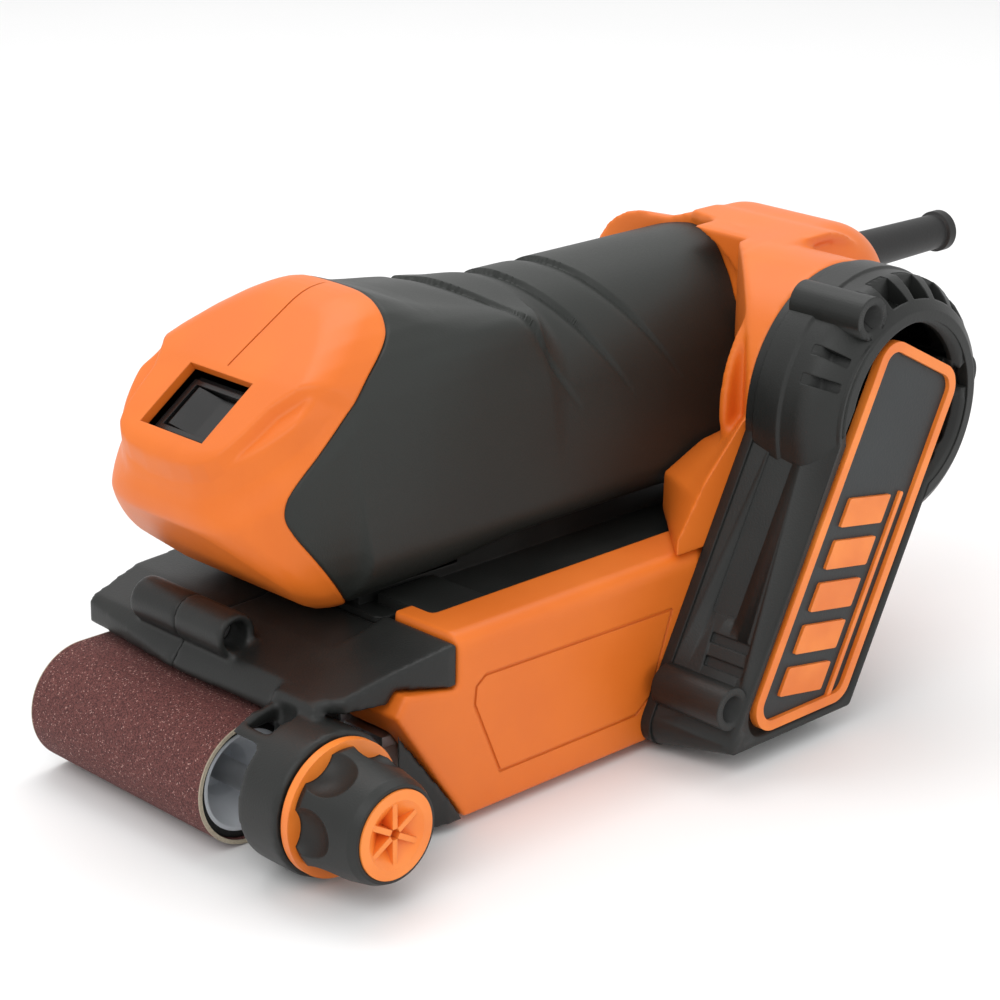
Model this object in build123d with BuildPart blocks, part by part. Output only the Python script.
from build123d import *
import os
from math import cos, pi, radians, sin

# Compact belt sander, in millimetres. +Z is up, the front roller is towards -X, and the
# knob and drive side is towards -Y. The origin is the centre of the flat sanding face.

# sanding belt and rollers
BELT_WIDTH = 64.0
BELT_LENGTH = 356.0
BELT_THICK = 1.0
BELT_RADIUS = 14.0          # inside radius of the belt round a roller
ROLLER_GAP = 0.2            # left between a roller and the rigid belt loop
ROLLER_R = BELT_RADIUS - ROLLER_GAP
ROLLER_LENGTH = 61.0
AXLE_SPACING = (BELT_LENGTH - 2 * pi * (BELT_RADIUS + BELT_THICK / 2)) / 2
FRONT_X = -AXLE_SPACING / 2
REAR_X = AXLE_SPACING / 2
ROLLER_Z = BELT_RADIUS + BELT_THICK
HALF_BELT = BELT_WIDTH / 2

# motor, bevel gears and toothed-belt drive
MOTOR_Z = 79.5
OUTPUT_X = 102.0
RUNNING = 0.05              # radial clearance of a shaft that turns in a bearing
SHAFT_R = 4.0
MOTOR_SHAFT_R = 3.0
PINION_TEETH = 9
CROWN_TEETH = 37
GEAR_MODULE = 1.0
DRIVE_TEETH = 16
DRIVEN_TEETH = 22
PULLEY_PITCH = 2.032
TOOTHED_BELT_THICK = 1.6

# housings
BARREL_R = 30.0
GRIP_THICK = 2.4
SHELL = 2.4
GRIP_REAR_X = 104.0
SIDE_Y = -60.0              # outer face of the left side
PLATE_Y = -34.0             # inner face of the cast frame plate
PLATE_THICK = 4.0
FLOOR_GAP = 2.2             # underside of the body above the work
LEDGE_Z = 48.3
COVER_Y = -63.0             # where the drive cover meets its back plate
COVER_FACE_Y = -85.0
COVER_LEAN = 27.4           # lean of the drive cover from vertical, degrees
HEAD_LENGTH = 73.0          # from the drive roller to the middle of the round head

# tracking knob and front hood
KNOB_X = FRONT_X + 2.2
KNOB_Z = ROLLER_Z + 3.0
BOSS_R = 17.3
HOOD_Z = 32.0

# rocker switch on the sloping nose
SLOPE = 35.6
SWITCH_POS = (-54.1, 0.0, 95.5)
SWITCH_OUT = (-sin(radians(SLOPE)), 0, cos(radians(SLOPE)))
SWITCH_SIDE = (cos(radians(SLOPE)), 0, sin(radians(SLOPE)))
ROCKER_DEPTH = 8.0           # pivot of the rocker below SWITCH_POS
ROCKER_TILT = 8.0            # the rocker leans this far either way

# release lever and tension slide
LEVER_PIVOT = (-38.0, 33.0)

# dust outlet, mains-lead sleeve and nose outline
DUST_R = 16.0
DUST_Y = 5.0
DUST_Z = 27.0
GUARD_Z = 88.5
NOSE_HALF = 34.0
NOSE_SIDE = [
    (-67.6, 74.2), (-67.2, 79.7), (-65.5, 85.4), (-61.7, 90.1), (-46.6, 100.9),
    (-40.5, 103.2), (-32.7, 108.8), (-20, 115.4), (-14, 118), (-6, 116.8), (0, 112.6),
    (6, 109.5), (6, 46), (-32, 44.2), (-42.6, 48.1), (-49.3, 55.1), (-53.8, 58.2),
    (-59.7, 64.1), (-64.6, 69.8),
]


def side_plane(y):
    """The plane at this y: local x is X, local y is Z, and extrusion grows towards -Y."""
    return Plane.XZ.offset(-y)


def save(part, name):
    part.label = name
    export_step(part, f"parts/{name}.step")


def disc(x, z, radius, y_from, y_to, mode=Mode.ADD):
    """A cylinder along Y from y_from down to y_to, in the part being built."""
    with Locations(Location((x, (y_from + y_to) / 2, z), (90, 0, 0))):
        Cylinder(radius, y_from - y_to, mode=mode)


def drum(radius, x_from, x_to, z=MOTOR_Z, y=0.0, mode=Mode.ADD):
    """A cylinder along X from x_from to x_to, in the part being built."""
    with Locations(Location(((x_from + x_to) / 2, y, z), (0, 90, 0))):
        Cylinder(radius, x_to - x_from, mode=mode)


def block(x, y, z, mode=Mode.ADD):
    """A box between the pairs x, y and z, in the part being built."""
    centre = ((x[0] + x[1]) / 2, (y[0] + y[1]) / 2, (z[0] + z[1]) / 2)
    with Locations(centre):
        Box(x[1] - x[0], y[1] - y[0], z[1] - z[0], mode=mode)


def loop_sketch(radius):
    """The stadium outline round both rollers at this radius, in a side plane."""
    with Locations((0, ROLLER_Z)):
        SlotCenterToCenter(AXLE_SPACING, 2 * radius)


# ---------------------------------------------------------------- sanding belt and platen
def sanding_belt():
    with BuildPart() as belt:
        with BuildSketch(side_plane(HALF_BELT)):
            loop_sketch(BELT_RADIUS + BELT_THICK)
            with Locations((0, ROLLER_Z)):
                SlotCenterToCenter(AXLE_SPACING, 2 * BELT_RADIUS, mode=Mode.SUBTRACT)
        extrude(amount=BELT_WIDTH)
    save(belt.part, "sanding_belt")


def platen():
    """Steel shoe that backs the flat run, its cushion, and the carrier that holds them."""
    half = 44.0
    shoe_top = BELT_THICK + 0.8
    pad_top = shoe_top + 2.2
    with BuildPart() as shoe:
        with BuildSketch(side_plane(30)):
            with BuildLine():
                Polyline(
                    (-half, BELT_THICK),
                    (half, BELT_THICK),
                    (half + 4, BELT_THICK + 3.5),
                    (half + 4, BELT_THICK + 4.5),
                    (half, shoe_top),
                    (-half, shoe_top),
                    (-half - 4, BELT_THICK + 4.5),
                    (-half - 4, BELT_THICK + 3.5),
                    close=True,
                )
            make_face()
        extrude(amount=61)
    save(shoe.part, "platen_shoe")
    with BuildPart() as pad:
        block((-half + 1, half - 1), (-31, 30), (shoe_top, pad_top))
    save(pad.part, "platen_cushion")
    with BuildPart() as carrier:
        block((-half, half), (PLATE_Y, 28), (pad_top, 26))
        fillet(carrier.edges().filter_by(Axis.Z), 2)
        for x in (-29, 0, 29):
            block((x - 11, x + 11), (-29, 29), (9, 21), mode=Mode.SUBTRACT)
    save(carrier.part, "platen_carrier")


# ---------------------------------------------------------------- rollers
def front_roller():
    """Moulded hub with a dished end, rubber sleeve, axle, sliding yoke and its spring."""
    half = ROLLER_LENGTH / 2
    with BuildPart() as hub:
        with BuildSketch(Plane.XY) as profile:
            with BuildLine():
                Polyline(
                    (MOTOR_SHAFT_R + RUNNING, -half + 12),
                    (5.5, -half + 12),
                    (6.5, -half + 8),
                    (11.3, -half),
                    (12.3, -half),
                    (12.3, half),
                    (11.3, half),
                    (6.5, half - 8),
                    (5.5, half - 12),
                    (MOTOR_SHAFT_R + RUNNING, half - 12),
                    close=True,
                )
            make_face()
        revolve(axis=Axis.Y)
    save(hub.part.moved(Location((FRONT_X, 0, ROLLER_Z))), "front_roller_hub")
    with BuildPart() as sleeve:
        disc(FRONT_X, ROLLER_Z, ROLLER_R, half, -half)
        disc(FRONT_X, ROLLER_Z, 12.3, half, -half, mode=Mode.SUBTRACT)
    save(sleeve.part, "front_roller_sleeve")
    with BuildPart() as axle:
        disc(FRONT_X, ROLLER_Z, MOTOR_SHAFT_R, half - 6, -50)
    save(axle.part, "front_axle")
    with BuildPart() as yoke:
        block((FRONT_X - 8, -36), (-50, -41), (ROLLER_Z - 7, ROLLER_Z + 7))
        fillet(yoke.edges().filter_by(Axis.Y), 3)
        disc(FRONT_X, ROLLER_Z, MOTOR_SHAFT_R, -40, -51, mode=Mode.SUBTRACT)
        drum(2.5, -36, -2, z=ROLLER_Z, y=-45.5)
    save(yoke.part, "front_yoke")


def coil_spring(name, radius, wire, x_from, x_to, turns, y, z):
    with BuildPart() as spring:
        with BuildLine() as path:
            Helix((x_to - x_from) / turns, x_to - x_from, radius, (x_from, y, z), (1, 0, 0))
        with BuildSketch(Plane(path.line @ 0, z_dir=path.line % 0)):
            Circle(wire / 2)
        sweep(path=path.line, is_frenet=True)
    save(spring.part, name)


def bearing_solid(y_from, y_to, x, z, outer, inner):
    disc(x, z, outer, y_from, y_to)
    disc(x, z, inner + RUNNING, y_from, y_to, mode=Mode.SUBTRACT)
    groove = (outer + inner) / 2
    for y in (y_from, y_to + 0.6):
        disc(x, z, groove + 1.6, y, y - 0.6, mode=Mode.SUBTRACT)
        disc(x, z, groove - 1.6, y, y - 0.6)
        disc(x, z, inner + RUNNING, y, y - 0.6, mode=Mode.SUBTRACT)


def rear_roller():
    """Drive roller: core, rubber lagging, shaft and the two bearings in the frame plate."""
    half = ROLLER_LENGTH / 2
    with BuildPart() as core:
        disc(REAR_X, ROLLER_Z, 11.6, half, -half)
        for y_from, y_to in ((half, half - 5), (-half + 5, -half)):
            disc(REAR_X, ROLLER_Z, 9.6, y_from, y_to, mode=Mode.SUBTRACT)
            disc(REAR_X, ROLLER_Z, 6.5, y_from, y_to)
        disc(REAR_X, ROLLER_Z, SHAFT_R, half, -half, mode=Mode.SUBTRACT)
    save(core.part, "rear_roller_core")
    with BuildPart() as lagging:
        disc(REAR_X, ROLLER_Z, ROLLER_R, half, -half)
        disc(REAR_X, ROLLER_Z, 11.6, half, -half, mode=Mode.SUBTRACT)
    save(lagging.part, "rear_roller_lagging")
    with BuildPart() as shaft:
        disc(REAR_X, ROLLER_Z, SHAFT_R, half + 1, -79)
    save(shaft.part, "rear_roller_shaft")
    with BuildPart() as bearings:
        bearing_solid(-38.5, -45.5, REAR_X, ROLLER_Z, 11, SHAFT_R)
        bearing_solid(-51.5, -58.5, REAR_X, ROLLER_Z, 11, SHAFT_R)
    save(bearings.part, "rear_roller_bearings")


# ---------------------------------------------------------------- cast frame and body
def frame_plate():
    """Cast plate between the belt and the left body: it carries bearings and the platen."""
    with BuildPart() as plate:
        with BuildSketch(side_plane(PLATE_Y)):
            with BuildLine():
                Polyline(
                    (-44, 5), (84, 5), (84, 30), (78, 42), (-36, 42), (-44, 30), close=True
                )
            make_face()
            fillet(vertices(), 3)
        extrude(amount=PLATE_THICK)
        disc(REAR_X, ROLLER_Z, 13.0, PLATE_Y, -58.5)
        disc(REAR_X, ROLLER_Z, 11.0, -38.5, -58.5, mode=Mode.SUBTRACT)
        disc(REAR_X, ROLLER_Z, 8.5, PLATE_Y, -40, mode=Mode.SUBTRACT)
        for z in (ROLLER_Z - 10.1, ROLLER_Z + 7.3):
            block((-43, 2), (-51, -38), (z, z + 2.8))
        block((-9, -6), (-51, -38), (ROLLER_Z - 8, ROLLER_Z + 8))
        drum(2.8, -10, -5, z=ROLLER_Z, y=-45.5, mode=Mode.SUBTRACT)
    save(plate.part, "frame_plate")


def side_body():
    """Left body shell: a tray open towards the frame plate, with a rounded top ledge."""
    outline = [
        (-25.1, FLOOR_GAP),
        (86, FLOOR_GAP),
        (86, LEDGE_Z),
        (-27.8, LEDGE_Z),
        (-27.8, 35.5),
        (-43.5, 38.2),
        (-46.6, 33.5),
    ]
    with BuildPart() as body:
        with BuildSketch(side_plane(PLATE_Y - PLATE_THICK)):
            with BuildLine():
                Polyline(*outline, close=True)
            make_face()
        extrude(amount=-SIDE_Y + PLATE_Y - PLATE_THICK)
        top = body.faces().sort_by(Axis.Z)[-1]
        fillet(top.edges().sort_by(Axis.Y)[0], 4)
        with BuildSketch(side_plane(PLATE_Y - PLATE_THICK)):
            with BuildLine():
                Polyline(
                    (-24, FLOOR_GAP + 2.5),
                    (83.5, FLOOR_GAP + 2.5),
                    (83.5, LEDGE_Z - 2.5),
                    (-25.3, LEDGE_Z - 2.5),
                    (-25.3, 33),
                    (-42, 35.4),
                    (-43.5, 33.5),
                    close=True,
                )
            make_face()
        extrude(amount=-SIDE_Y + PLATE_Y - PLATE_THICK - 2.5, mode=Mode.SUBTRACT)
        disc(REAR_X, ROLLER_Z, 14.0, SIDE_Y + 4, SIDE_Y - 1, mode=Mode.SUBTRACT)
        disc(REAR_X, ROLLER_Z, 13.1, -37.9, -58.6, mode=Mode.SUBTRACT)
        block((-50, -20), (-51.5, -37.9), (4.8, 26), mode=Mode.SUBTRACT)
        block((-22, 87), (-45, -37.9), (42.3, 50), mode=Mode.SUBTRACT)
    save(body.part, "left_side_body")


def front_frame():
    """Black front frame in two halves: hood plate, screw boss, side wall and knob boss."""
    joint_line = [(-28.3, 36.2), (-44.2, 38.8), (-47.3, 33.5), (-25.7, FLOOR_GAP)]
    with BuildPart() as frame:
        with BuildSketch(side_plane(38)):
            with BuildLine():
                Polyline(
                    (-63.4, HOOD_Z), (-63.4, 34), (-58.5, 39.2), (-45, 43), (-28.3, 43.8),
                    (-28.3, HOOD_Z), close=True,
                )
            make_face()
        extrude(amount=38 + 38)
        with BuildSketch(side_plane(-36)):
            with BuildLine():
                Polyline(
                    (-62, 38), (-45, 43), (-28.3, 47), *joint_line, (-50, FLOOR_GAP),
                    (-60, 8), (-62, 14), close=True,
                )
            make_face()
        extrude(amount=-SIDE_Y - 36)
        with BuildSketch(Plane.XY):
            with BuildLine():
                Polyline(
                    (-63.4, 0), (-60, 36), (-40, 38), (-20, 38), (-20, SIDE_Y), (-31, SIDE_Y),
                    (-57, -54), (-62.5, -46), (-62.5, -34), close=True,
                )
            make_face()
            fillet(vertices().group_by(Axis.X)[0], 1)
        extrude(amount=60, mode=Mode.INTERSECT)
        disc(KNOB_X, KNOB_Z, BOSS_R, -36, -58.5)
        block((-80, 0), (-33.8, -32), (-5, HOOD_Z), mode=Mode.SUBTRACT)
        block((-72, -20), (-56.5, -38), (FLOOR_GAP + 2.3, 36), mode=Mode.SUBTRACT)
        block((-44.3, 0), (-38.1, -33), (-5, 42.3), mode=Mode.SUBTRACT)
        disc(KNOB_X, KNOB_Z, 14.8, -38, -56, mode=Mode.SUBTRACT)
        add(nose_form(0), mode=Mode.SUBTRACT)
        block((-72, -54), (-40, -30), (ROLLER_Z - 4, ROLLER_Z + 4), mode=Mode.SUBTRACT)
        disc(KNOB_X, KNOB_Z, 4.2, -55, -60, mode=Mode.SUBTRACT)
        disc(-57, 43.5, 5.5, 17, -17)
        disc(-57, 43.5, 1.95, 18, -18, mode=Mode.SUBTRACT)
        disc(-57, 43.5, 3.5, -7.9, -18, mode=Mode.SUBTRACT)
    for keep, name in ((Keep.TOP, "front_frame_left"), (Keep.BOTTOM, "front_frame_right")):
        with BuildPart() as half:
            add(frame.part)
            split(bisect_by=Plane.XZ, keep=keep)
        save(half.part, name)


def deck():
    """Black centre moulding over the belt: it carries the motor barrel and the trough."""
    with BuildPart() as tray:
        block((-28, 94), (-33.9, 36), (HOOD_Z, 45))
        fillet(tray.edges().filter_by(Axis.Z), 3)
        block((-26, 92), (-24, 24), (44, 54))
        block((-22, 90), (-31.5, 33), (HOOD_Z, 42.5), mode=Mode.SUBTRACT)
        block((-21.8, 80), (-44.9, -33.9), (42.5, 45))
        block((-21.8, -4), (-44.9, -26), (45, 47.5))
        add(nose_form(0), mode=Mode.SUBTRACT)
        add(barrel_form(0, -7, GRIP_REAR_X), mode=Mode.SUBTRACT)
    save(tray.part, "motor_deck")


def dust_outlet():
    """Scoop behind the drive roller and the round outlet for a vacuum hose."""
    with BuildPart() as scoop:
        block((84.5, 98), (-30, 35), (6, 31.5))
        fillet(scoop.edges().filter_by(Axis.X), 3)
        block((84, 95.5), (-27.5, 32.5), (8.5, 29), mode=Mode.SUBTRACT)
        drum(DUST_R + 2.4, 95.5, 128, z=DUST_Z, y=DUST_Y)
        drum(DUST_R, 95, 129, z=DUST_Z, y=DUST_Y, mode=Mode.SUBTRACT)
    save(scoop.part, "dust_outlet")


# ---------------------------------------------------------------- motor housing and grip
def nose_form(inset):
    """The rounded front of the motor housing: side, plan and front outlines crossed."""
    with BuildPart() as nose:
        with BuildSketch(side_plane(40)):
            with BuildLine():
                Polyline(*NOSE_SIDE, close=True)
            make_face()
            if inset:
                offset(amount=-inset, mode=Mode.REPLACE)
        extrude(amount=80)
        with BuildSketch(Plane.XY.offset(30)):
            with BuildLine():
                Line((10, -NOSE_HALF), (10, NOSE_HALF))
                Line((10, NOSE_HALF), (-38, NOSE_HALF))
                ThreePointArc((-38, NOSE_HALF), (-60, 23), (-67.8, 0))
                ThreePointArc((-67.8, 0), (-60, -23), (-38, -NOSE_HALF))
                Line((-38, -NOSE_HALF), (10, -NOSE_HALF))
            make_face()
            if inset:
                offset(amount=-inset, mode=Mode.REPLACE)
        extrude(amount=100, mode=Mode.INTERSECT)
        with BuildSketch(Plane.YZ.offset(-80)):
            with Locations((0, 80.5)):
                RectangleRounded(2 * NOSE_HALF - 2 * inset, 76 - 2 * inset, 25 - inset)
        extrude(amount=100, mode=Mode.INTERSECT)
    return nose.part


def barrel_form(grow, x_from, x_to):
    """Motor barrel: a circle that widens into two lower flanks, grown by this much."""
    with BuildPart() as barrel:
        with BuildSketch(Plane.YZ.offset(x_from)) as section:
            with Locations((0, MOTOR_Z)):
                Circle(BARREL_R + grow)
            with Locations((-27, 59.5), (27, 59.5)):
                Circle(7 + grow)
            make_hull(section.edges())
        extrude(amount=x_to - x_from)
    return barrel.part


def rear_form(inset):
    """Transverse gear housing behind the barrel, with the flared wall on its left."""
    with BuildPart() as rear:
        with BuildSketch(side_plane(26 - inset)) as section:
            with Locations((OUTPUT_X, MOTOR_Z)):
                Circle(33 - inset)
            with Locations((122, 94.5)):
                Circle(18.5 - inset)
            with Locations((118, 66)):
                Circle(20 - inset)
            make_hull(section.edges())
        extrude(amount=26 - SIDE_Y - inset)
        far_end = rear.faces().sort_by(Axis.Y)[-1]
        fillet(far_end.edges(), 9)
        with BuildSketch(Plane.XY.offset(20)):
            with BuildLine():
                Polyline(
                    (GRIP_REAR_X + inset, 60),
                    (180, 60),
                    (180, -80),
                    (66 + inset, -80),
                    (66 + inset, SIDE_Y - 3),
                    (100.5 + inset, -28.5),
                    (GRIP_REAR_X + inset, -28.5),
                    close=True,
                )
            make_face()
        extrude(amount=120, mode=Mode.INTERSECT)
    return rear.part


def waist_form():
    """Left wall that climbs from the ledge to the gear housing, with its stepped front."""
    y_in, y_out = -34.6, SIDE_Y
    with BuildPart() as waist:
        with BuildSketch(side_plane(y_in)):
            with BuildLine():
                Polyline(
                    (68, LEDGE_Z + 0.2), (68, 59), (82, 64.5), (98, 66), (104, 74),
                    (124, 74), (124, LEDGE_Z + 0.2), close=True,
                )
            make_face()
        with BuildSketch(side_plane(y_out)):
            with BuildLine():
                Polyline(
                    (45, LEDGE_Z + 0.2), (45, 52), (55, 66), (60, 71), (68, 79),
                    (112, 79), (112, LEDGE_Z + 0.2), close=True,
                )
            make_face()
        loft(ruled=True)
    return waist.part


def housings():
    """Orange motor housing, moulded in a left and a right half, and the soft grip."""
    skirt = [
        (-1, 125), (-1, 112.5), (-17, 108), (-25, 99), (-38, 91), (-47, 84), (-52.5, 77),
        (-50, 66), (-40, 55), (-30, 45), (-24, 30),
    ]
    with BuildPart() as shell:
        add(nose_form(0))
        with BuildSketch(side_plane(60)):
            with BuildLine():
                Polyline((-100, 125), *skirt, (-100, 30), close=True)
            make_face()
        extrude(amount=120, mode=Mode.INTERSECT)
        add(nose_form(GRIP_THICK + 0.1))
        add(barrel_form(-GRIP_THICK - 0.1, -2, GRIP_REAR_X))
        add(barrel_form(0, GRIP_REAR_X, OUTPUT_X + 14))
        add(rear_form(0))
        add(waist_form())
        add(barrel_form(0, 60, GRIP_REAR_X), mode=Mode.SUBTRACT)
        add(barrel_form(-GRIP_THICK - 0.1, 59, GRIP_REAR_X))
        add(nose_form(GRIP_THICK + SHELL), mode=Mode.SUBTRACT)
        add(barrel_form(-GRIP_THICK - SHELL, -10, OUTPUT_X + 12), mode=Mode.SUBTRACT)
        add(rear_form(SHELL), mode=Mode.SUBTRACT)
        for x_from, x_to, radius, hole in ((-40, -34, 12, 9.5), (68, 74, 12, 9.5)):
            with BuildSketch(Plane.YZ.offset(x_from)) as web:
                with Locations((0, MOTOR_Z)):
                    Circle(BARREL_R - 1.5 * SHELL)
            extrude(amount=2)
            drum(radius, x_from, x_to)
            drum(hole, x_from - 1, x_to + 1, mode=Mode.SUBTRACT)
        disc(OUTPUT_X, MOTOR_Z, 32, -50, -52.5)
        disc(OUTPUT_X, MOTOR_Z, 14, -50, -58)
        disc(OUTPUT_X, MOTOR_Z, 11, -49, -58.1, mode=Mode.SUBTRACT)
        disc(OUTPUT_X, MOTOR_Z, 14, 21.5, 13.5)
        block((OUTPUT_X - 2, 140), (19, 21.5), (MOTOR_Z - 12, MOTOR_Z + 12))
        disc(OUTPUT_X, MOTOR_Z, 11, 21, 13, mode=Mode.SUBTRACT)
        drum(6.6, 128, 150, z=GUARD_Z, mode=Mode.SUBTRACT)
        disc(OUTPUT_X, MOTOR_Z, SHAFT_R + 1, 10, -50.1, mode=Mode.SUBTRACT)
        switch_cut = Plane(SWITCH_POS, x_dir=(0, 1, 0), z_dir=SWITCH_OUT)
        with BuildSketch(switch_cut.offset(6)):
            Rectangle(22.5, 18.6)
        extrude(amount=-26, mode=Mode.SUBTRACT)
    for keep, name in ((Keep.TOP, "motor_housing_left"), (Keep.BOTTOM, "motor_housing_right")):
        with BuildPart() as half:
            add(shell.part)
            split(bisect_by=Plane.XZ, keep=keep)
        save(half.part, name)
    with BuildPart() as grip:
        add(nose_form(0))
        with BuildSketch(side_plane(60)):
            with BuildLine():
                Polyline((-100, 125), *skirt, (-100, 30), close=True)
            make_face()
        extrude(amount=120, mode=Mode.SUBTRACT)
        add(barrel_form(0, -6, GRIP_REAR_X))
        add(nose_form(GRIP_THICK), mode=Mode.SUBTRACT)
        add(barrel_form(-GRIP_THICK, -7, GRIP_REAR_X + 1), mode=Mode.SUBTRACT)
        add(nose_form(GRIP_THICK), mode=Mode.SUBTRACT)
        disc(OUTPUT_X, MOTOR_Z, SHAFT_R + 1, 10, -50, mode=Mode.SUBTRACT)
    save(grip.part, "soft_grip")


def cord_guard():
    """Tapered sleeve for the mains lead, with a collar inside the housing and an end lip."""
    with BuildPart() as guard:
        with BuildSketch(Plane.XZ):
            with BuildLine():
                Polyline(
                    (128, GUARD_Z + 3.6), (128, GUARD_Z + 9), (131, GUARD_Z + 9),
                    (131, GUARD_Z + 6.5), (150, GUARD_Z + 6.2), (222, GUARD_Z + 5.1),
                    (222.5, GUARD_Z + 6.0), (225.5, GUARD_Z + 6.0), (226, GUARD_Z + 5.4),
                    (226, GUARD_Z + 3.6), close=True,
                )
            make_face()
        revolve(axis=Axis((0, 0, GUARD_Z), (1, 0, 0)))
    save(guard.part, "cord_guard")


# ---------------------------------------------------------------- motor and gears
def motor():
    with BuildPart() as shaft:
        drum(MOTOR_SHAFT_R, -41, 80.3)
    save(shaft.part, "motor_shaft")
    with BuildPart() as core:
        drum(13.6, 0, 36)
        drum(MOTOR_SHAFT_R, -1, 37, mode=Mode.SUBTRACT)
    save(core.part, "armature_core")
    with BuildPart() as winding:
        for x_from, x_to in ((-8, 0), (36, 44)):
            drum(12.2, x_from, x_to)
            drum(MOTOR_SHAFT_R, x_from, x_to, mode=Mode.SUBTRACT)
        for end in (winding.faces().sort_by(Axis.X)[0], winding.faces().sort_by(Axis.X)[-1]):
            fillet(end.edges().sort_by(SortBy.RADIUS)[-1], 2.5)
    save(winding.part, "armature_windings")
    with BuildPart() as commutator:
        drum(8.5, -27, -11)
        drum(9.6, -11, -9.5)
        drum(MOTOR_SHAFT_R, -28, -9, mode=Mode.SUBTRACT)
        with Locations(Plane(origin=(-19, 0, MOTOR_Z), z_dir=(1, 0, 0))):
            with PolarLocations(8.5, 24):
                Box(1.2, 0.5, 15, mode=Mode.SUBTRACT)
    save(commutator.part, "commutator")
    with BuildPart() as stator:
        drum(24.0, 0, 36)
        drum(14.4, -1, 37, mode=Mode.SUBTRACT)
        for side in (-1, 1):
            block((-1, 37), (side * 18, side * 24) if side > 0 else (-24, -18),
                  (MOTOR_Z - 8, MOTOR_Z + 8), mode=Mode.SUBTRACT)
    save(stator.part, "stator_core")
    with BuildPart() as coils:
        for x_from, x_to in ((-8.5, -0.2), (36.2, 44.5)):
            drum(21.5, x_from, x_to)
            drum(15.0, x_from - 1, x_to + 1, mode=Mode.SUBTRACT)
    save(coils.part, "field_coils")
    with BuildPart() as fan:
        drum(7.0, 50, 62)
        drum(22.0, 60, 62)
        with Locations(Plane(origin=(55.5, 0, MOTOR_Z), z_dir=(1, 0, 0))):
            with PolarLocations(13.5, 12):
                Box(15, 1.6, 9.5)
        drum(MOTOR_SHAFT_R, 49, 63, mode=Mode.SUBTRACT)
    save(fan.part, "cooling_fan")
    with BuildPart() as bearings:
        for x_from in (-40, 68):
            drum(9.5, x_from, x_from + 6)
            drum(MOTOR_SHAFT_R + RUNNING, x_from - 1, x_from + 7, mode=Mode.SUBTRACT)
    save(bearings.part, "motor_bearings")
    with BuildPart() as holders:
        for side in (-1, 1):
            low, high = sorted((side * 10.5, side * 22.5))
            block((-24.5, -13.5), (low, high), (MOTOR_Z - 6, MOTOR_Z + 6))
            low, high = sorted((side * 10.0, side * 21.5))
            block((-22, -16), (low, high), (MOTOR_Z - 4, MOTOR_Z + 4), mode=Mode.SUBTRACT)
    save(holders.part, "brush_holders")
    with BuildPart() as brushes:
        for side in (-1, 1):
            low, high = sorted((side * 8.8, side * 20))
            block((-21.9, -16.1), (low, high), (MOTOR_Z - 3.9, MOTOR_Z + 3.9))
    save(brushes.part, "carbon_brushes")


def gears():
    """Motor pinion, crown gear and output shaft: two right-angle axes that cross."""
    pinion_r = PINION_TEETH * GEAR_MODULE / 2
    crown_r = CROWN_TEETH * GEAR_MODULE / 2
    mesh_x = OUTPUT_X - crown_r
    half_face = 2.0
    blade = 0.8
    with BuildPart() as pinion:
        drum(pinion_r - 1.2, mesh_x - half_face, mesh_x + half_face)
        with Locations(Plane(origin=(mesh_x, 0, MOTOR_Z), x_dir=(0, -1, 0), z_dir=(1, 0, 0))):
            with PolarLocations(pinion_r - 0.4, PINION_TEETH):
                Box(2.4, blade, 2 * half_face)
    save(pinion.part, "motor_pinion")
    floor_y = -pinion_r - 1.2
    with BuildPart() as crown:
        disc(OUTPUT_X, MOTOR_Z, crown_r + half_face, floor_y, floor_y - 5)
        disc(OUTPUT_X, MOTOR_Z, 8, floor_y - 5, floor_y - 12)
        half_pitch = 180 / CROWN_TEETH
        toothed_face = Plane(
            origin=(OUTPUT_X, floor_y + 0.85, MOTOR_Z),
            x_dir=(-cos(radians(half_pitch)), 0, sin(radians(half_pitch))),
            z_dir=(0, 1, 0),
        )
        with Locations(toothed_face):
            with PolarLocations(crown_r, CROWN_TEETH):
                Box(2 * half_face, blade, 2.1)
        disc(OUTPUT_X, MOTOR_Z, SHAFT_R, 0, -30, mode=Mode.SUBTRACT)
    save(crown.part, "crown_gear")
    with BuildPart() as shaft:
        disc(OUTPUT_X, MOTOR_Z, SHAFT_R, 21, -79)
    save(shaft.part, "output_shaft")
    with BuildPart() as bearings:
        bearing_solid(-50.5, -57.5, OUTPUT_X, MOTOR_Z, 11, SHAFT_R)
        bearing_solid(20.5, 13.5, OUTPUT_X, MOTOR_Z, 11, SHAFT_R)
    save(bearings.part, "output_bearings")


# ---------------------------------------------------------------- toothed-belt drive
def pulley(name, x, z, teeth):
    """Pulley with round-bottomed tooth spaces and two flanges."""
    radius = teeth * PULLEY_PITCH / (2 * pi)
    with BuildPart() as wheel:
        disc(x, z, radius, -66.5, -77.5)
        with Locations(Plane(origin=(x, -72, z), z_dir=(0, 1, 0))):
            with PolarLocations(radius, teeth):
                Cylinder(0.55, 11, mode=Mode.SUBTRACT)
        disc(x, z, radius + 1.5, -65.7, -66.5)
        disc(x, z, radius + 1.5, -77.5, -78.3)
        disc(x, z, SHAFT_R, -65, -79, mode=Mode.SUBTRACT)
    save(wheel.part, name)
    return radius


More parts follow.
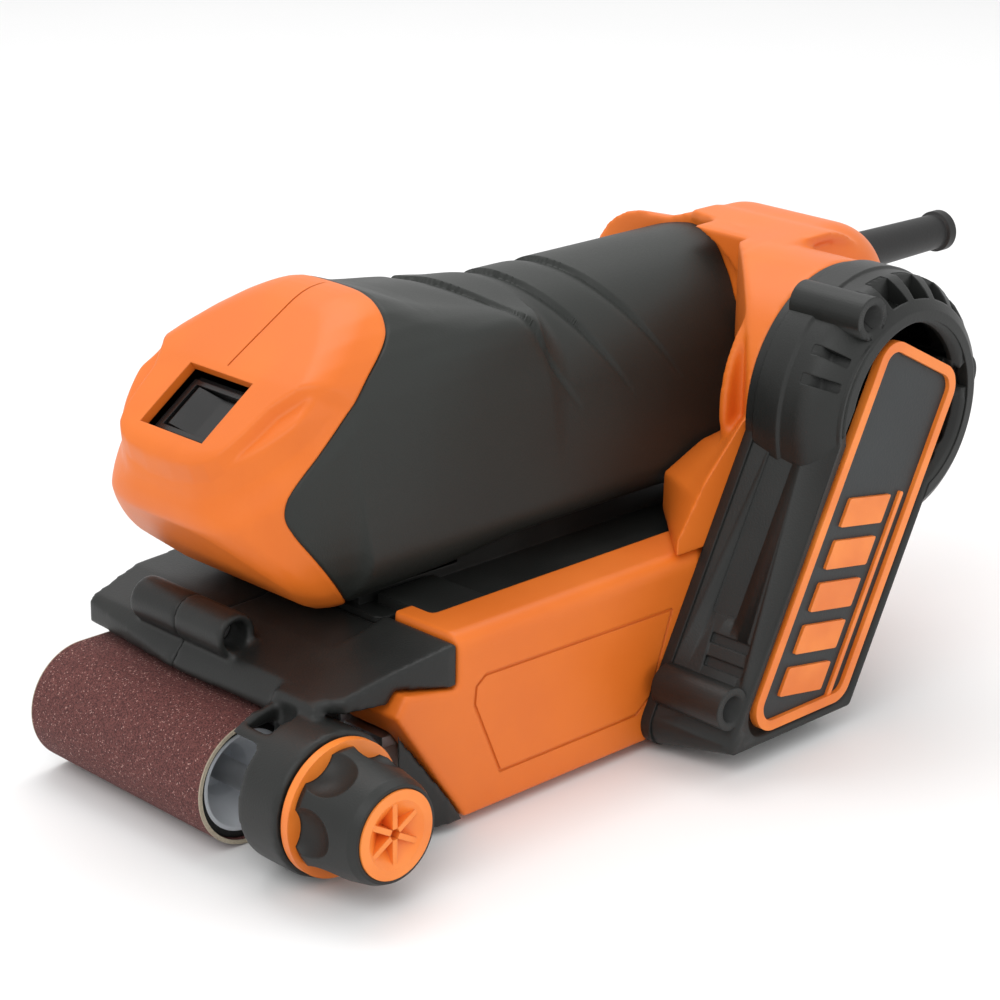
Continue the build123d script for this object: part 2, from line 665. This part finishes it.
def toothed_belt(drive_r, driven_r):
    """Rigid loop round both pulleys: the hull of two circles, made hollow."""
    clear = 0.35
    with BuildPart() as belt:
        with BuildSketch(side_plane(-67)) as outer:
            with Locations((OUTPUT_X, MOTOR_Z)):
                Circle(drive_r + clear + TOOTHED_BELT_THICK)
            with Locations((REAR_X, ROLLER_Z)):
                Circle(driven_r + clear + TOOTHED_BELT_THICK)
            make_hull(outer.edges())
        extrude(amount=10)
        with BuildSketch(side_plane(-67)) as inner:
            with Locations((OUTPUT_X, MOTOR_Z)):
                Circle(drive_r + clear)
            with Locations((REAR_X, ROLLER_Z)):
                Circle(driven_r + clear)
            make_hull(inner.edges())
        extrude(amount=10, mode=Mode.SUBTRACT)
    save(belt.part, "toothed_belt")


def lean_point(length, side):
    """A point this far up the leaning centre line of the cover and this far across it."""
    lean = radians(COVER_LEAN)
    return (
        REAR_X + length * sin(lean) + side * cos(lean),
        ROLLER_Z + length * cos(lean) - side * sin(lean),
    )


def foot_point(side, low_z):
    """The point of a leaning side line, this far across, that lies at height low_z."""
    lean = radians(COVER_LEAN)
    return lean_point((low_z - ROLLER_Z + side * sin(lean)) / cos(lean), side)


def cover_sketch(half_width, low_z, head_r):
    """Outline of the drive cover: flat foot, leaning sides and a larger round head."""
    with BuildLine() as outline:
        Polyline(
            foot_point(-half_width, low_z),
            lean_point(HEAD_LENGTH, -half_width),
            lean_point(HEAD_LENGTH, half_width),
            foot_point(half_width, low_z),
            close=True,
        )
    make_face(outline.edges())
    fillet(vertices().group_by(Axis.Y)[0], 6)
    with Locations(lean_point(HEAD_LENGTH, 0)):
        Circle(head_r)


def drive_cover():
    """Back plate, hollow leaning cover with its screw bosses, and the face inlay."""
    bosses = ((39.8, 17.9), (85.3, 106.5), (124.0, 84.5))
    with BuildPart() as back:
        with BuildSketch(side_plane(SIDE_Y)):
            cover_sketch(25.5, 1.5, 30)
        extrude(amount=SIDE_Y - COVER_Y)
        disc(OUTPUT_X, MOTOR_Z, 33, SIDE_Y, COVER_Y)
        disc(OUTPUT_X, MOTOR_Z, 9, SIDE_Y + 1, COVER_Y - 1, mode=Mode.SUBTRACT)
        disc(REAR_X, ROLLER_Z, 9, SIDE_Y + 1, COVER_Y - 1, mode=Mode.SUBTRACT)
    save(back.part, "drive_back_plate")
    with BuildPart() as cover:
        with BuildSketch(side_plane(COVER_Y)):
            cover_sketch(25, 1.5, 29.5)
        extrude(amount=COVER_Y - COVER_FACE_Y, taper=11)
        disc(OUTPUT_X, MOTOR_Z, 33, COVER_Y, -77)
        for x, z in bosses:
            disc(x, z, 5.4, COVER_Y, COVER_FACE_Y + 0.5)
        with BuildSketch(side_plane(COVER_Y)):
            cover_sketch(22.6, 3.4, 27)
        extrude(amount=COVER_Y - COVER_FACE_Y - 3.5, taper=8, mode=Mode.SUBTRACT)
        disc(OUTPUT_X, MOTOR_Z, 30.5, COVER_Y, -74.5, mode=Mode.SUBTRACT)
        for x, z in bosses:
            disc(x, z, 5.4, COVER_Y, COVER_FACE_Y + 0.5)
            disc(x, z, 3.4, COVER_FACE_Y + 8, COVER_FACE_Y - 1, mode=Mode.SUBTRACT)
            disc(x, z, 2.1, COVER_Y + 1, COVER_FACE_Y, mode=Mode.SUBTRACT)
        with BuildSketch(side_plane(COVER_FACE_Y + 2)):
            cover_sketch(18.4, 7.4, 22.8)
        extrude(amount=3, mode=Mode.SUBTRACT)
    save(cover.part, "drive_cover")
    return bosses


def label_outline(grow):
    """Leaning plate on the face of the cover: flat foot, square top, rounded corners."""
    half = 16.9 + grow
    foot_z = 8.4 - grow
    top = 88.5 + grow
    with BuildLine() as outline:
        Polyline(
            foot_point(-half, foot_z),
            lean_point(top, -half),
            lean_point(top, half),
            foot_point(half, foot_z),
            close=True,
        )
    make_face(outline.edges())
    fillet(vertices(), 6.5 + grow)


def label():
    with BuildPart() as ring:
        with BuildSketch(side_plane(COVER_FACE_Y + 2)):
            label_outline(0)
        extrude(amount=2.4)
        with BuildSketch(side_plane(COVER_FACE_Y + 2)):
            label_outline(-2.6)
        extrude(amount=2.4, mode=Mode.SUBTRACT)
    save(ring.part, "label_border")
    with BuildPart() as plate:
        with BuildSketch(side_plane(COVER_FACE_Y + 2)):
            label_outline(-2.6)
        extrude(amount=1.2)
    save(plate.part, "label_plate")


# ---------------------------------------------------------------- controls
def tracking_knob():
    """Fluted knob with a bright flange and cap, on the steel tracking screw."""
    axis = Axis((KNOB_X, 0, KNOB_Z), (0, 1, 0))
    with BuildPart() as flange:
        disc(KNOB_X, KNOB_Z, 16.2, -59.2, -61.4)
        disc(KNOB_X, KNOB_Z, 5.0, -59, -62, mode=Mode.SUBTRACT)
    save(flange.part, "knob_flange")
    with BuildPart() as knob:
        with BuildSketch(Plane.XY.offset(KNOB_Z)):
            with BuildLine():
                Polyline(
                    (KNOB_X + 5.0, -59.2), (KNOB_X + 5.0, -61.4), (KNOB_X + 14.6, -61.4),
                    (KNOB_X + 15.0, -63), (KNOB_X + 12.4, -76.5), (KNOB_X + 11.4, -78.6),
                    (KNOB_X + 10.6, -78.6), (KNOB_X + 10.6, -73), (KNOB_X + 3.0, -73),
                    (KNOB_X + 3.0, -59.2), close=True,
                )
            make_face()
        revolve(axis=axis)
        with Locations(Plane(origin=(KNOB_X, -66, KNOB_Z), z_dir=(0, 1, 0))):
            with PolarLocations(19.4, 6, start_angle=30):
                Sphere(8.4, mode=Mode.SUBTRACT)
    save(knob.part, "tracking_knob")
    with BuildPart() as cap:
        disc(KNOB_X, KNOB_Z, 10.5, -73, -79)
        with Locations(Location((KNOB_X, -77, KNOB_Z), (90, 0, 0))):
            Cone(2.2, 8.2, 4.2, mode=Mode.SUBTRACT)
        with Locations(Plane(origin=(KNOB_X, -76.4, KNOB_Z), z_dir=(0, 1, 0))):
            with PolarLocations(5, 6):
                Box(7.5, 1.4, 4)
    save(cap.part, "knob_cap")
    with BuildPart() as screw:
        disc(KNOB_X, KNOB_Z, 3.0, -52.5, -73)
    save(screw.part, "tracking_screw")


def rocker_switch():
    """Standard snap-in rocker switch on the sloping nose."""
    face = Plane(SWITCH_POS, x_dir=(0, 1, 0), z_dir=SWITCH_OUT)
    with BuildPart() as body:
        with BuildSketch(face.offset(-7.2)):
            Rectangle(22.1, 18.2)
        extrude(amount=2.2)
        with BuildSketch(face.offset(-5.0)):
            Rectangle(21, 15)
        extrude(amount=1.4)
        with BuildSketch(face.offset(-14)):
            Rectangle(19, 13)
        extrude(amount=7)
        with BuildSketch(face.offset(-3)):
            Rectangle(17.4, 12.4)
        extrude(amount=-9.8, mode=Mode.SUBTRACT)
    save(body.part, "switch_body")
    pivot = Location(Plane(face.offset(-ROCKER_DEPTH).origin, x_dir=(0, 1, 0), z_dir=SWITCH_SIDE))
    with BuildPart() as rocker:
        with BuildSketch(Plane(pivot * Location((0, 0, 0), (0, 0, ROCKER_TILT)))):
            with BuildLine():
                Polyline(
                    (-7.6, 3.6), (0, 2.6), (7.6, 3.6), (6.6, 0), (4, -2), (-4, -2), (-6.6, 0),
                    close=True,
                )
            make_face()
        extrude(amount=5.7, both=True)
        with Locations(pivot):
            Cylinder(1.5, 12.2)
    save(rocker.part, "switch_rocker")


def release_lever():
    """Lever on the open side: swung outwards, it draws the front roller back."""
    x, y = LEVER_PIVOT
    with BuildPart() as lever:
        with Locations((x, y, ROLLER_Z)):
            Cylinder(4.2, 10)
        block((x, x + 46), (y - 0.2, y + 3.2), (ROLLER_Z - 5, ROLLER_Z + 5))
        block((x + 40, x + 46), (y - 0.2, y + 5.2), (ROLLER_Z - 5, ROLLER_Z + 5))
        with Locations((x, y, ROLLER_Z)):
            Cylinder(2.0 + RUNNING, 12, mode=Mode.SUBTRACT)
    save(lever.part, "release_lever")
    with BuildPart() as bracket:
        for z in (ROLLER_Z - 7, ROLLER_Z + 5.3):
            block((x - 4, x + 4), (28, y + 4), (z, z + 1.7))
        with Locations((x, y, ROLLER_Z)):
            Cylinder(2.0, 14)
    save(bracket.part, "lever_bracket")


def screws(bosses):
    """Pan-head screws, one solid each, in three groups."""
    def screw(x, z, head_y, length, direction=1):
        tail = head_y + direction * length
        near, far = sorted((head_y, tail))
        disc(x, z, 1.9, far, near)
        near, far = sorted((head_y, head_y - direction * 2.2))
        disc(x, z, 3.2, far, near)
        with Locations((x, head_y - direction * 1.8, z)):
            Box(4, 0.9, 0.8, mode=Mode.SUBTRACT)
            Box(0.8, 0.9, 4, mode=Mode.SUBTRACT)

    with BuildPart() as cover_set:
        for x, z in bosses:
            screw(x, z, COVER_FACE_Y + 8, 13)
    save(cover_set.part, "cover_screws")
    with BuildPart() as hood_screw:
        screw(-57, 43.5, -8, 22)
    save(hood_screw.part, "hood_screw")


os.makedirs("parts", exist_ok=True)
sanding_belt()
platen()
front_roller()
coil_spring("tension_spring", 4.2, 1.2, -34.8, -10.4, 7, -45.5, ROLLER_Z)
rear_roller()
frame_plate()
side_body()
front_frame()
deck()
dust_outlet()
housings()
cord_guard()
motor()
gears()
drive_radius = pulley("drive_pulley", OUTPUT_X, MOTOR_Z, DRIVE_TEETH)
driven_radius = pulley("driven_pulley", REAR_X, ROLLER_Z, DRIVEN_TEETH)
toothed_belt(drive_radius, driven_radius)
boss_places = drive_cover()
label()
tracking_knob()
rocker_switch()
release_lever()
screws(boss_places)
